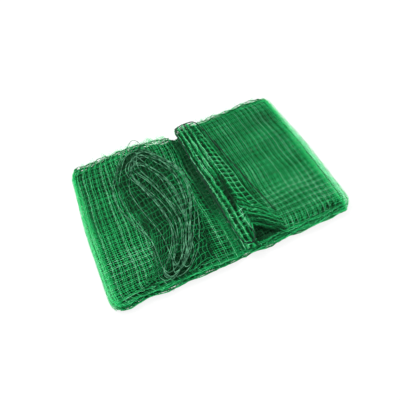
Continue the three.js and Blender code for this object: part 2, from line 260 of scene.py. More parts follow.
def fill_mesh(mesh, corners, quads, caps):
    """Gives a mesh its corners, its quads and its strands' end caps."""
    mesh.vertices.add(len(corners))
    mesh.vertices.foreach_set("co", corners.astype(np.float32).ravel())
    loops = np.concatenate([quads.ravel(), caps.ravel()])
    mesh.loops.add(len(loops))
    mesh.loops.foreach_set("vertex_index", loops.astype(np.int32))
    totals = np.concatenate([np.full(len(quads), 4), np.full(len(caps), SIDES)])
    starts = np.concatenate([[0], np.cumsum(totals)[:-1]])
    mesh.polygons.add(len(totals))
    mesh.polygons.foreach_set("loop_start", starts.astype(np.int32))
    mesh.polygons.foreach_set("loop_total", totals.astype(np.int32))
    mesh.polygons.foreach_set("use_smooth", np.ones(len(totals), bool))
    mesh.update(calc_edges=True)
    mesh.validate()


def strands_object(name, strands, material):
    """One mesh of many strands, each (points, radii, across, shade), closed at both ends."""
    corners, quads, caps, shades, start = [], [], [], [], 0
    for points, radii, across, shade in strands:
        radii = np.broadcast_to(radii, len(points))
        ring, faces = strand_faces(points, radii, np.array(across, float))
        corners.append(ring)
        quads.append(faces + start)
        shades.append(np.repeat(np.broadcast_to(shade, len(points)), SIDES))
        caps.append(np.arange(SIDES)[::-1] + start)
        caps.append(np.arange(SIDES) + start + len(ring) - SIDES)
        start += len(ring)
    mesh = bpy.data.meshes.new(name)
    fill_mesh(mesh, np.concatenate(corners) * MM, np.concatenate(quads), np.array(caps))
    attribute = mesh.attributes.new("shade", "FLOAT", "POINT")
    attribute.data.foreach_set("value", np.concatenate(shades).astype(np.float32))
    mesh.materials.append(material)
    piece = new_object(name, mesh)
    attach(piece, "root")
    return piece


def ease(x, low, high):
    """0 to 1 over a range, flat at both its ends."""
    t = np.clip((x - low) / (high - low), 0, 1)
    return t * t * (3 - 2 * t)


def band(x, rise, fall):
    """0 to 1 over one range, and back to 0 over the other."""
    return ease(x, *rise) * (1 - ease(x, *fall))


def run_along(points):
    """How far along a route each of its places lies."""
    return np.concatenate([[0], np.cumsum(np.linalg.norm(np.diff(points, axis=0), axis=1))])


# The waves that the pieces wander by: how far, over patches of what size, the seed, and what
# each further ply or gather adds to the seed
WAVES = {
    "net x": (1.8, 90, 5, 0),
    "net y": (1.5, 90, 6, 0),
    "ply x": (0.4, 50, 3, 11),
    "ply y": (0.6, 45, 4, 11),
    "ply z": (0.3, 30, 6, 11),
    "edge y": (1.0, 17, 5, 11),
    "edge z": (1.0, 11, 7, 11),
    "bundle x": (1.4, 22, 10, 11),
    "bundle y": (3.0, 19, 11, 11),
    "shade": (0.1, 60, 91, 0),
    "side out": (0.7, 12, 95, 0),
    "side z": (1.5, 25, 96, 0),
    "pleat x": (1.6, 20, 83, 0),
    "pleat y": (1.6, 26, 81, 0),
    "pleat rung": (3.0, 18, 85, 0),
    "row y": (1.0, 40, 71, 0),
    "row z": (0.3, 25, 72, 0),
    "column x": (1.0, 40, 73, 0),
    "column z": (0.3, 25, 74, 0),
    "hank x": (1.8, 37, 41, 0),
    "hank y": (1.8, 41, 43, 0),
    "kink x": (1.5, 19, 42, 0),
    "kink y": (1.2, 18, 44, 0),
    "gather x": (2.5, 30, 60, 7),
    "gather y": (3.0, 30, 61, 7),
    "gather z": (0.9, 14, 62, 7),
}
WAVE_PARTS = 4
WAVE_LENGTHS = (0.7, 1.5)  # of its parts, as shares of the wave's size


def wander(name, x, y, order=0):
    """A smooth wandering value, by a row of WAVES."""
    reach, size, seed, further = WAVES[name]
    rng = np.random.default_rng(seed + further * order)
    total = 0
    for _ in range(WAVE_PARTS):
        way = rng.uniform(0, math.pi)
        length = size * rng.uniform(*WAVE_LENGTHS)
        phase = rng.uniform(0, 2 * math.pi)
        run = x * math.cos(way) + y * math.sin(way)
        total = total + np.sin(run / length * 2 * math.pi + phase)
    return reach * total / (WAVE_PARTS - 1)


# The folded net: where it turns back, and the layers between, as in the frame's solid

net_low, net_high = (np.array(corner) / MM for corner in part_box("net"))
WIDTH = net_high[0] - net_low[0]
DEPTH = net_high[1] - net_low[1]
MESH = 10.0
SHEET, PITCH = 2.4, 3.5  # how thick a layer is, and how far apart two levels lie
# each turn's side, its X from there, and how far that leans with Y
TURNS = [
    ("free", -6, 0), ("left", 0, 0), ("valley", -2, 0.01), ("left", 3, 0),
    ("right", 3.5, 0), ("left", 1.5, 0), ("right", 0, 0), ("valley", 11, -0.02),
    ("right", 2, 0), ("valley", 9, -0.03), ("strip", 34, 0.01),
    ("valley", 10, -0.03), ("free", 62, -0.13),
]
# each layer's level, and the Y of its front and back edges
LAYERS = [
    (5, -125, 129), (4, -128, 125), (3, -123, 128), (2, -127, 123), (1, -130, 120), (0, -126, 126),
    (3, -128, 124), (4, -125, 129), (5, -127, 127), (6, -128, 128), (7, -130, 130), (8, -129, 128),
]
LEFT_TOP, RIGHT_TOP, STRIP = 0, 8, 11
BUNDLE_FROM, STRIP_FROM = RIGHT_TOP + 0.5, STRIP - 0.5  # layers past these lie on the right half
HALVES_LEVEL = 5  # the highest level of the two halves
NARROWING = 7.0  # of each half towards the back
CORNER_ROUND, CORNER_DEPTH = 11.0, 18.0
STEP = (38, 51)  # where the strip steps down beside the bundle
STEP_LEVELS = 2
CORNER_X, CORNER_Y, CORNER_SLOPE, CORNER_LIFT, CORNER_RUN = 40, -80, -0.7, 6, 40
STATIONS = 27
FLAT_STEP = 4.0
FOLD_STEPS = 7


def swell(x, y):
    """How high the levels stand at a place, as a share: lower at the front and back edges, and
    wandering on the right half."""
    edge = 0.1 * ease(np.abs(y), DEPTH / 2 - 30, DEPTH / 2)
    wave = 0.04 * np.sin(x / 31 + 0.6) * np.cos(y / 44 + 0.4)
    return 1 - edge + wave * ease(x, 8, 40)


def level_height(level, x, y):
    return SHEET / 2 + level * PITCH * swell(x, y)


def corner_edge(x):
    """The Y of the strip's front edge, which slants back from the bundle."""
    return CORNER_Y + CORNER_SLOPE * (x - CORNER_X)


def layer_height(index, x, y):
    level = LAYERS[index][0]
    if index != STRIP:
        return level_height(level, x, y)
    down = STEP_LEVELS * ease(x, *STEP)
    near = 1 - ease(y - corner_edge(x), 0, CORNER_RUN)
    lift = CORNER_LIFT * near * ease(x, *STEP)
    return level_height(level - down, x, y) + lift


def half_width(y):
    corner = max(0, (abs(y) - DEPTH / 2 + CORNER_DEPTH) / CORNER_DEPTH)
    narrower = NARROWING * float(ease(y, -10, DEPTH / 2))
    return WIDTH / 2 - narrower - CORNER_ROUND * corner * corner


def turn_x(turn, y):
    side, x, lean = turn
    half = half_width(y)
    if side == "left":
        return -half + x * (1 + 0.25 * math.sin(y / 23))
    if side == "right":
        return half - x
    return x + lean * y


def layer_edges(index, x):
    """The Y of a layer's front and back edges. The halves' back edge dips at the valley."""
    level, front, back = LAYERS[index]
    ragged = 1.5 * np.sin(x / 8.5 + 2.1 * level)
    dip = 0 if level > HALVES_LEVEL else 12 * np.exp(-(((x + 16) / 26) ** 2))
    front = front - ragged
    if index == STRIP:
        front = front + (corner_edge(x) - front) * ease(x, STEP[0] - 5, STEP[0] + 1)
    return front, back + ragged - dip


def fold_rows(k, x, out, radius, y):
    """Rows of the fold between layer k and the next, which turns at X towards out."""
    turned = np.arange(1, FOLD_STEPS) / FOLD_STEPS
    low, high = layer_height(k, x, y), layer_height(k + 1, x, y)
    here, there = layer_edges(k, x), layer_edges(k + 1, x)
    return np.column_stack([
        x + out * radius * np.sin(math.pi * turned),
        low + (high - low) * (1 - np.cos(math.pi * turned)) / 2,
        here[0] + (there[0] - here[0]) * turned,
        here[1] + (there[1] - here[1]) * turned,
        k + turned,
    ])


def folded_line(y):
    """The net's middle line at a depth: rows of x, z, front edge, back edge and layer."""
    turns = [turn_x(turn, y) for turn in TURNS]
    middle = [turn_x(turn, 0) for turn in TURNS]
    outs = [1 if far > near else -1 for near, far in zip(middle, middle[1:])]
    radii = [abs(above[0] - below[0]) * PITCH / 2 for below, above in zip(LAYERS, LAYERS[1:])]
    ends = [turns[0]]
    for turn, out, radius in zip(turns[1:], outs, radii):
        ends.append(turn - out * (radius + SHEET / 2))
    ends.append(turns[-1])
    rows = []
    for k in range(len(LAYERS)):
        steps = max(3, round(abs(middle[k + 1] - middle[k]) / FLAT_STEP))
        x = np.linspace(ends[k], ends[k + 1], steps + 1)
        front, back = layer_edges(k, x)
        z = layer_height(k, x, y)
        rows.append(np.stack([x, z, front, back + 0 * x, np.full_like(x, k)], axis=1))
        if k < len(radii):
            rows.append(fold_rows(k, ends[k + 1], outs[k], radii[k], y))
    return np.concatenate(rows)


def net_table():
    """The folded net at every station of its depth, as arrays of stations by places."""
    shares = np.linspace(0, 1, STATIONS)
    table = np.stack([folded_line((share - 0.5) * DEPTH) for share in shares])
    along = np.gradient(table[:, :, :2], axis=1)
    along /= np.linalg.norm(along, axis=2, keepdims=True)
    normal = np.stack([-along[:, :, 1], along[:, :, 0]], axis=2)
    return np.concatenate([table, normal], axis=2)


TABLE = net_table()
MIDDLE_X, LINE_LAYER = TABLE[STATIONS // 2][:, 0], TABLE[STATIONS // 2][:, 4]
RUN = run_along(TABLE[STATIONS // 2][:, :2])


def look_up(run, share):
    """Rows of x, z, front, back, layer and normal, at lengths along the net and shares of its
    depth."""
    place = np.interp(run, RUN, np.arange(len(RUN)))
    station = np.clip(share, 0, 1) * (STATIONS - 1)
    i = np.minimum(place.astype(int), len(RUN) - 2)
    k = np.minimum(station.astype(int), STATIONS - 2)
    u = (place - i)[..., None]
    v = (station - k)[..., None]
    near = TABLE[k, i] * (1 - u) + TABLE[k, i + 1] * u
    far = TABLE[k + 1, i] * (1 - u) + TABLE[k + 1, i + 1] * u
    return near * (1 - v) + far * v


def between_layers(values, layer):
    """A layer's own value, or one between two layers' at a fold."""
    low, high = np.floor(layer).astype(int), np.ceil(layer).astype(int)
    return values[low] + (values[high] - values[low]) * (layer - low)


def top_share(layer):
    """1 in the layers that show on top, 0 in the ones below them, and part way at a fold."""
    shown = [k in (LEFT_TOP, RIGHT_TOP) or k > RIGHT_TOP for k in range(len(LAYERS))]
    return between_layers(np.array(shown, float), layer)


# The plies of the net: where each one's threads lie in the mesh of the halves and of the
# bundle, and how thick and light they are on top
PLIES = 3
PLY_GAP = 1.15
TOP_SHIFTS = [(5.1, 5.6), (1.7, 2.0), (0.0, 0.0)]
BUNDLE_SHIFTS = [(0.9, -0.7), (-0.7, 0.6), (0.0, 0.0)]
PLY_RADIUS = [0.36, 0.33, 0.33]
# how light each ply is on top: painted shade, darker for a lower ply
PLY_SHADE = [0.6, 0.78, 0.92]
KNOT = 0.14
BUNDLE_THIN = 0.72
# the layers below the top ones get a dark painted shade of the pack's depth
DEEP_RADIUS, DEEP_SHADE = 0.78, 0.1
SHIFTS = RNG.uniform(-MESH / 2, MESH / 2, (PLIES, len(LAYERS), 2))
for ply_order in range(PLIES):
    SHIFTS[ply_order, [LEFT_TOP, RIGHT_TOP]] = TOP_SHIFTS[ply_order]
    SHIFTS[ply_order, RIGHT_TOP + 1 :] = BUNDLE_SHIFTS[ply_order]
# How far inside a layer's edges each ply is turned under, and what share of the mesh is left
# past there
FRONT_SHORT = RNG.uniform(-2, 6, (PLIES, len(LAYERS)))
BACK_SHORT = RNG.uniform(-5, 5, (PLIES, len(LAYERS)))
SQUEEZE, STRIP_SQUEEZE = 0.08, 0.3
# The front and back edges sway in Y and Z: how far, how much more at the back, over what Y
SWAY_Y, SWAY_Z, SWAY_RUN = (1.4, 0.8), (1.1, 0.5), 14
BUNDLE_END = (33, 42)
PLEAT_HEIGHT, LONG_PLEAT, SLANT_PLEAT = 2.1, 8.5, 8.0
VALLEY_LAYERS = 2.6  # the left half's upper layers, that sink and reach at the valley


def pleat_wave(x, y, layer):
    """The lengthwise pleats of the bundle and the slanting ones of the strip's near corner, and
    how far a place is pleated at all."""
    across = (x + 0.06 * y) / LONG_PLEAT
    long_pleats = np.sin(across * 2 * math.pi + 1.1 * np.sin(y / 24))
    past = x + y + 51
    slanting = np.sin(past / SLANT_PLEAT * 2 * math.pi + 0.8 * np.sin(x / 11))
    near = (layer > STRIP_FROM) * (1 - ease(past, 32, 46)) * ease(x, 32, 42)
    bundle = (layer > BUNDLE_FROM) * (1 - ease(x, *BUNDLE_END))
    return bundle * long_pleats * (1 - near) + near * slanting, np.maximum(bundle, near)


def valley_slope(x, y, layer):
    """How far the left half's top sinks towards the valley, as a share of its height."""
    return 0.42 * ease(x, -20 + 0.05 * y, 6) * (layer < VALLEY_LAYERS)


def valley_reach(x, y, layer):
    """How far the left half's top reaches over the valley, more at the front."""
    near = 1 - ease(y, -70, 60)
    return (1 + 8.5 * near) * ease(x, -36, -5) * (layer < VALLEY_LAYERS)


def turned_under(ply, x, y, front, back, layer):
    """The Y of places, with the mesh past a layer's front and back edges squeezed together."""
    front = front + between_layers(FRONT_SHORT[ply], layer)
    back = back - between_layers(BACK_SHORT[ply], layer)
    hanging = (STRIP_SQUEEZE + 0.42 * ease(x, 40, 71)) * ease(x, 36, 42)
    squeeze = SQUEEZE + np.where(layer > STRIP_FROM, hanging, 0)
    y = np.where(y < front, front - squeeze * (front - y), y)
    return np.where(y > back, back + SQUEEZE * (y - back), y)


def net_points(ply, run, row_y, raised):
    """Places on a ply of the net, at lengths along it and at the Y of its rows, raised a little
    out of its middle, and their layer."""
    rows = look_up(run, row_y / DEPTH + 0.5)
    x, z, front, back, layer, normal_x, normal_z = (rows[..., i] for i in range(7))
    y = row_y + between_layers(SHIFTS[ply, :, 1], layer)
    y = turned_under(ply, x, y, front, back, layer)
    gap = (ply - (PLIES - 1) / 2) * PLY_GAP + raised
    inner = 1 - ease(np.abs(x), WIDTH / 2 - 40, WIDTH / 2 - 5)
    x = x + normal_x * gap + inner * wander("net x", x, y) + wander("ply x", run, y, ply)
    y = y + wander("net y", x, y) + wander("ply y", run, y, ply)
    loose = ease(np.abs(row_y), DEPTH / 2 - SWAY_RUN, DEPTH / 2)
    sway_y, sway_z = (sway + more * np.sign(row_y) for sway, more in (SWAY_Y, SWAY_Z))
    y = y + sway_y * loose * wander("edge y", run, y, ply)
    z = z + normal_z * gap + wander("ply z", run, y, ply)
    bundle = (layer > BUNDLE_FROM) * (1 - ease(x, *BUNDLE_END))
    x = x + bundle * wander("bundle x", x, y, ply) + valley_reach(x, y, layer)
    y = y + bundle * wander("bundle y", x, y, ply)
    spread = 0.24 * np.maximum(x - 44, 0) * (1 - ease(y, -95, -65))
    x = x + spread * (layer > STRIP_FROM)
    z = z * (1 - valley_slope(x, y, layer)) + PLEAT_HEIGHT * pleat_wave(x, y, layer)[0]
    z = z + sway_z * loose * wander("edge z", run, y, ply)
    return np.stack([x, y, np.maximum(z, FLOOR_CLEAR)], axis=-1), layer


def net_radii(ply, layer, knotted):
    thin = np.where(layer > BUNDLE_FROM, BUNDLE_THIN, 1.0)
    top = top_share(layer)
    return (PLY_RADIUS[ply] + KNOT * knotted) * thin * top + DEEP_RADIUS * (1 - top)


# How light the threads are, as painted light and shade: shares of the light that are left or taken
# away, and least lights
BUNDLE_SHARE = 0.85
DRAWN_LEFT = 0.35  # painted shade along the strip's drawn front edge
# painted shade in the pleats' troughs, and painted light on their crests
PLEAT_LEFT, PLEAT_LIGHT = 0.1, 1.1
# painted shadows of the hank and of the strip, deepest in the strip's near hollow
HANK_SHADOW, STRIP_SHADOW, HOLLOW_SHADOW = 0.75, 0.6, 0.7
# painted shadows in the valley and in the crease along the bundle
VALLEY_SHADOW, CREASE_SHADOW = 0.85, 0.95
# painted light at the pack's sides, its right side, its front and back, where light comes through
SIDE_LIGHT, RIGHT_LIGHT, FRONT_LIGHT, BACK_LIGHT = 0.78, 0.14, 0.68, 0.85
# painted light on the bundle's valley wall, less towards the back
WALL_LIGHT, WALL_DARKER = 0.34, 0.4
CREASE_X, CREASE_WIDTH = 30.0, 2.8  # where the painted crease shadow runs along the bundle
NEAR_WALL = 14  # how much further right the left half's wall stands at the front


def strip_shadow(x, y):
    """How much painted shadow the strip lays on what lies under it, most in its near hollow."""
    wall = NEAR_WALL * (1 - ease(y, -90, -30))
    shadow = ease(x, 5 + wall, 10 + wall) * (1 - ease(x + 0.13 * y, 56, 66))
    hollow = ease(-56 - x - y, -16, 0) * ease(x, 30, 40) * (x < 90)
    return shadow * np.maximum(STRIP_SHADOW, HOLLOW_SHADOW * hollow)


def rim_light(x, y, share):
    """The least painted light of threads at the pack's sides and ends, where light comes through.
    """
    sides = SIDE_LIGHT * ease(np.abs(x), WIDTH / 2 - 20, WIDTH / 2 - 5)
    right = RIGHT_LIGHT * ease(x, WIDTH / 2 - 24, WIDTH / 2 - 8)
    ends = ease(np.abs(y), DEPTH / 2 - 13, DEPTH / 2 - 2)
    return sides + right, ends * share * np.where(y < 0, FRONT_LIGHT, BACK_LIGHT)


def net_shades(ply, points, layer, share):
    """How light each place of a thread is, as painted light and shade: light on top and where
    light comes through the pack's edges, dark in the depth, in the valley, between pleats and
    under the hank."""
    x, y = points[:, 0], points[:, 1]
    raised, below = layer > BUNDLE_FROM, layer < BUNDLE_FROM
    top = top_share(layer)
    share = np.where(raised, BUNDLE_SHARE, share)
    # lower plies and the layers below the top get painted shade of the pack's depth
    shade = share * PLY_SHADE[ply] * top + DEEP_SHADE * (1 - top) + wander("shade", x, y)
    # painted shade along the strip's drawn front edge
    drawn = DRAWN_LEFT + (1 - DRAWN_LEFT) * ease(y - corner_edge(x), -6, 10)
    shade = shade * np.where((layer > STRIP_FROM) & (x > 36), drawn, 1.0)
    pleat, pleated = pleat_wave(x, y, layer)
    # painted light on the pleats' crests and painted shade in their troughs
    crest = PLEAT_LEFT + PLEAT_LIGHT * ease(pleat, -0.6, 0.7)
    shade = shade * (1 - pleated + pleated * crest)
    # painted shadow under the hank
    shade = shade * (1 - HANK_SHADOW * heap_mask(x, y) * (layer < LEFT_TOP + 0.5))
    # painted shadow of the strip
    shade = shade * (1 - strip_shadow(x, y) * below)
    # painted light where light comes through the pack's sides and ends
    sides, ends = rim_light(x, y, share)
    shade = np.maximum(shade, np.maximum(sides, ends * below))
    # painted shadow in the valley and in the crease along the bundle
    valley = band(x, (-14, 4), (10, 20)) * ease(y, -105, -25) * below
    crease = np.exp(-(((x - CREASE_X) / CREASE_WIDTH) ** 2)) * band(y, (-75, -55), (15, 40))
    shade = shade * (1 - VALLEY_SHADOW * valley) * (1 - CREASE_SHADOW * crease * raised)
    # painted light on the bundle's valley wall
    wall = WALL_LIGHT * band(x, (-8, 0), (14, 22)) * below
    wall = wall * (1 - WALL_DARKER * ease(y, -85, -15))
    return np.clip(np.maximum(shade, wall), 0, 1)


# Where the threads run
BUNDLE_MESH, BUNDLE_TO = 4.8, 45  # of the bundle's cross threads, and its end
RIGHT_MESH = 9.2
FOLD_MARGINS = (2, 1)  # how far from a layer's two ends its cross threads keep
SIDE_FOLDS = 100  # folds past this X get more threads
FOLD_THREADS = [0, 1, 4, 5]
CLOSE_ROWS = np.array([1.8, 3.6, 5.4])  # extra rows inside the front and back edges
CLOSE_SHARE = 0.6
THREAD_SHARES = (0.72, 1.08)
ROW_SHARE, ROW_DARKER = 0.95, 0.35  # at the front, and how much less at the back
ROW_LOW, CROSS_HIGH = -0.25, 0.3  # the rows lie under the cross threads
THREAD_JITTER = [0.25, 0.25, 0.125]
# Slack meshes that stand out of the pack's edges: the edge's side, how many on each ply, and
# how far out they reach
FRINGE = [(1, 420, 0.5, 11.0), (-1, 90, 0.5, 3.0)]
FRINGE_LAYERS = [0, 1, 2, 3, 5, 6, 7, 8]
LOOP_POINTS, LOOP_RADIUS = 8, 0.16
SIDE_THREADS, SIDE_POINTS, SIDE_RADIUS = 14, 34, 0.14
SLACK_SHADE = 0.8
SLACK_APART = 900  # side threads look up their waves within this


def column_runs(ply):
    """Lengths along the net at which its cross threads lie: an even mesh in each layer, closer
    in the bundle, and some threads at each fold."""
    runs = []
    for k, layer in enumerate(LAYERS):
        flat = np.flatnonzero(LINE_LAYER == k)
        x, run = MIDDLE_X[flat], RUN[flat]
        if x[0] > x[-1]:
            x, run = x[::-1], run[::-1]
        pitch = RIGHT_MESH if x[0] > 0 else MESH
        if layer[0] > HALVES_LEVEL and x[-1] < BUNDLE_TO:
            pitch = BUNDLE_MESH
        start = SHIFTS[ply, k, 0]
        first = math.ceil((x[0] + FOLD_MARGINS[0] - start) / pitch) * pitch + start
        places = np.arange(first, x[-1] - FOLD_MARGINS[1], pitch)
        runs.append(np.interp(places, x, run))
        folded = np.flatnonzero((LINE_LAYER > k) & (LINE_LAYER < k + 1))
        if len(folded):
            if abs(MIDDLE_X[folded[0]]) > SIDE_FOLDS:
                runs.append(RUN[folded][FOLD_THREADS])
            runs.append([RUN[folded].mean()])
    return np.unique(np.concatenate(runs))


def edge_loops(ply, side, count, least, most):
    """Slack meshes that stand out of the back or the front edge."""
    loops = []
    t = np.linspace(0, 1, LOOP_POINTS)
    arch = np.sin(math.pi * t) ** 0.8
    edge = np.full(LOOP_POINTS, side * (DEPTH / 2 - 2))
    for _ in range(count):
        k = int(RNG.choice(FRINGE_LAYERS))
        flat = RUN[LINE_LAYER == k]
        run = RNG.uniform(flat[0] + 8, flat[-1] - 8)
        span = RNG.uniform(3, 9)
        base, _ = net_points(ply, run + span * (t - 0.5), edge, 0)
        out = least + (most - least) * RNG.uniform() ** 1.4
        shorter = 0.5 * ease(base[LOOP_POINTS // 2, 0], -60, 40)  # on the right half
        out = side * out * (1.15 - shorter)
        reach = np.array([RNG.uniform(-3, 3), out, RNG.uniform(-2, 2.5)])
        points = base + arch[:, None] * reach
        points[:, 2] = np.maximum(points[:, 2], FLOOR_CLEAR)
        loops.append((points, LOOP_RADIUS, Z_AXIS, SLACK_SHADE))
    return loops


def side_threads():
    """Fine slack threads that stand off the two side folds."""
    strands = []
    y = np.linspace(-DEPTH / 2 + 6, DEPTH / 2 - 3, SIDE_POINTS)
    for turn in np.repeat(["left", "right"], SIDE_THREADS):
        x = np.array([turn_x((turn, 0, 0), place) for place in y])
        out = RNG.uniform(-0.6, 2.0) + wander("side out", y, RNG.uniform(0, SLACK_APART))
        z = RNG.uniform(2, 19) + wander("side z", y, RNG.uniform(0, SLACK_APART))
        points = np.column_stack([x + np.sign(x) * out, y, np.maximum(z, FLOOR_CLEAR)])
        strands.append((points, SIDE_RADIUS, X_AXIS, SLACK_SHADE))
    return strands


def net_strand(ply, run, row_y, knotted, across, raised, share):
    points, layer = net_points(ply, run, row_y, raised)
    points = points + RNG.normal(0, 1, points.shape) * THREAD_JITTER
    radii = net_radii(ply, layer, knotted)
    return points, radii, across, net_shades(ply, points, layer, share)


def row_strands(ply, rows, close, runs):
    """The threads along the folded net, with places between the knots where it shows."""
    folds = RUN[(LINE_LAYER % 1) > 0]
    halves = (runs[:-1] + runs[1:]) / 2
    shown = top_share(np.interp(halves, RUN, LINE_LAYER)) > 0.5
    along = np.unique(np.concatenate([runs, halves[shown], folds]))
    knotted = np.isin(along, runs)
    strands = []
    for y in np.concatenate([rows, close]):
        share = ROW_SHARE - ROW_DARKER * ease(y, -90, 60)
        share = share * RNG.uniform(*THREAD_SHARES) * (CLOSE_SHARE if y in close else 1)
        place = np.full(len(along), y)
        strands.append(net_strand(ply, along, place, knotted, Y_AXIS, ROW_LOW, share))
    return strands


def cross_strands(ply, rows, runs):
    """The threads across the folded net, on top of the others."""
    fine = np.sort(np.concatenate([rows, (rows[:-1] + rows[1:]) / 2]))
    strands = []
    for run in runs:
        shown = top_share(np.interp(run, RUN, LINE_LAYER)) > 0.5
        y = fine if shown else rows
        knotted = np.isin(y, rows)
        share = RNG.uniform(*THREAD_SHARES)
        place = np.full(len(y), run)
        strands.append(net_strand(ply, place, y, knotted, X_AXIS, CROSS_HIGH, share))
    return strands


def declare_net(node):
    """Hides the frame's part for the node that a piece of netting stands for."""
    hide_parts(node)


def net_ply(ply, material):
    """One ply of the folded net."""
    rows = np.linspace(-DEPTH / 2, DEPTH / 2, round(DEPTH / MESH) + 1)
    close = np.concatenate([-DEPTH / 2 + CLOSE_ROWS, DEPTH / 2 - CLOSE_ROWS])
    runs = column_runs(ply)
    strands = row_strands(ply, rows, close, runs)
    strands += cross_strands(ply, rows, runs)
    for side, count, least, most in FRINGE:
        strands += edge_loops(ply, side, count, least, most)
    strands += side_threads()
    piece = strands_object(f"net_ply_{ply + 1}", strands, material)
    declare_net("net")


# The strip's near corner, drawn together into slanting pleats: how many threads run along them
# and across them, where they start and end, and their lower and upper edges as (Y, slope)
CORNER_THREADS, CORNER_POINTS = 24, 30
CORNER_RUNGS, RUNG_POINTS, RUNG_START = 4.5, 48, 3
CORNER_FROM, CORNER_TO = 34.0, 82.0
CORNER_LOW, CORNER_TOP = (-97.0, -0.68), (-46.0, -1.06)
CORNER_WIDTH = 50  # about, for looking up the waves
CORNER_UP, FRONT_SINK, END_SINK = PLY_GAP + 1.0, 5.5, 3.5
CORNER_PLEATS, CORNER_PLEAT_HEIGHT = 5.2, 1.5
CORNER_JITTER, CORNER_CREST = 0.35, (-0.4, 0.8)
# dark and light shades of the pleats' threads: painted shade in the troughs, painted light on the
# crests
ALONG_RADIUS, ALONG_DARK, ALONG_LIGHT = 0.30, 0.08, 0.62
RUNG_RADIUS, RUNG_DARK, RUNG_LIGHT = 0.28, 0.06, 0.55


def corner_points(share, x):
    """Places on the pleated corner, at shares of its width from its lower edge."""
    low, top = (y + slope * (x - CORNER_FROM) for y, slope in (CORNER_LOW, CORNER_TOP))
    y = low + share * (top - low) + wander("pleat y", x, CORNER_WIDTH * share)
    sunk = FRONT_SINK * ease(corner_edge(x) - y, 0, 14) + END_SINK * ease(x, 62, 80)
    height = layer_height(STRIP, x, y) + CORNER_UP - sunk
    wave = np.sin(CORNER_PLEATS * share * 2 * math.pi + 0.7 * np.sin(x / 13))
    spot = x + wander("pleat x", x, CORNER_WIDTH * share)
    return np.stack([spot, y, height + CORNER_PLEAT_HEIGHT * wave], axis=-1), wave


def pleated_corner(material):
    strands = []
    x = np.linspace(CORNER_FROM, CORNER_TO, CORNER_POINTS)
    for share in np.linspace(0, 1, CORNER_THREADS):
        points, wave = corner_points(np.full(CORNER_POINTS, share), x)
        points = points + RNG.normal(0, CORNER_JITTER, points.shape)
        # painted light on the crests, painted shade in the troughs
        shade = ALONG_DARK + ALONG_LIGHT * ease(wave, *CORNER_CREST)
        shade = shade * RNG.uniform(0.75, 1.1)
        strands.append((points, ALONG_RADIUS, Z_AXIS, shade))
    share = np.linspace(0, 1, RUNG_POINTS)
    for place in np.arange(CORNER_FROM + RUNG_START, CORNER_TO, CORNER_RUNGS):
        x = place + wander("pleat rung", CORNER_WIDTH * share, place)
        points, wave = corner_points(share, x)
        # painted light on the crests, painted shade in the troughs
        shade = RUNG_DARK + RUNG_LIGHT * ease(wave, *CORNER_CREST)
        strands.append((points, RUNG_RADIUS, X_AXIS, shade))
    piece = strands_object("pleated_corner", strands, material)
    declare_net("net")


# The net's lowest layers: the threads' distance, how far inside the edges they end, and the
# heights of the two lattices
UNDER_PITCH = 3.2
UNDER_INSET = 6.0
UNDER_HEIGHTS = (1.6, 3.2)
# UNDER_SHADE is a dark painted shade of the pack's depth
UNDER_RADIUS, UNDER_SHADE = 0.9, 0.2
UNDER_ROW_POINTS, UNDER_COLUMN_POINTS = 24, 18


def net_underside(order, material):
    """One lattice of the net's lowest layers, pressed together so that hardly a gap is left
    between threads, and dark with painted shade of the pack's depth."""
    height, offset = UNDER_HEIGHTS[order], order * UNDER_PITCH / len(UNDER_HEIGHTS)
    deep = DEPTH / 2 - UNDER_INSET
    strands = []
    for y in np.arange(-deep + offset, deep, UNDER_PITCH):
        reach = half_width(y) - UNDER_INSET / 2
        x = np.linspace(-reach, reach, UNDER_ROW_POINTS)
        z = height + wander("row z", x, y)
        points = np.column_stack([x, y + wander("row y", x, y), z])
        strands.append((points, UNDER_RADIUS, Y_AXIS, UNDER_SHADE))
    reach = WIDTH / 2 - CORNER_ROUND
    y = np.linspace(-deep, deep, UNDER_COLUMN_POINTS)
    for x in np.arange(-reach + offset, reach, UNDER_PITCH):
        z = height + wander("column z", x, y)
        points = np.column_stack([x + wander("column x", x, y), y, z])
        strands.append((points, UNDER_RADIUS, X_AXIS, UNDER_SHADE))
    piece = strands_object(f"net_underside_{order + 1}", strands, material)
    declare_net("net")


# The hank

HANK_MIDDLE_Y = -1
HANK_HALF = 126
# By shares of its length from its middle: its middle's X, and its half width but for round ends
OUTLINE_SHARES = (-1, -0.88, -0.67, -0.38, -0.04, 0.34, 0.67, 0.88, 1)
OUTLINE_MIDDLE = (-78, -70, -64, -57, -65, -70, -72, -73, -68)
OUTLINE_HALF = (82, 82, 58, 49, 52, 59, 53, 43, 40)
# The cord's lanes, as shares of the half width at five places of the length
LANE_PLACES = (-0.9, -0.5, -0.1, 0.3, 0.7)
LANES = {
    "outer left": (-0.55, -0.80, -1.03, -1.08, -0.86),
    "left": (-0.66, -0.86, -1.00, -0.94, -0.74),
    "third": (-0.42, -0.56, -0.68, -0.68, -0.48),
    "middle": (-0.38, -0.24, -0.09, -0.33, -0.62),
    "low slant": (-0.52, -0.22, 0.02, -0.20, -0.54),
    "slant": (-0.38, -0.06, 0.17, -0.07, -0.46),
    "high slant": (-0.20, 0.08, 0.30, 0.10, -0.20),
    "inner": (0.14, 0.24, 0.42, 0.36, 0.20),
    "inner right": (0.02, 0.22, 0.62, 0.56, 0.40),
    "right": (0.04, 0.22, 0.76, 0.78, 0.60),
    "outer right": (0.08, 0.29, 0.86, 0.97, 0.80),
    "foot loop": (0.38, 0.52, 0.92, 1.00, 0.84),
}
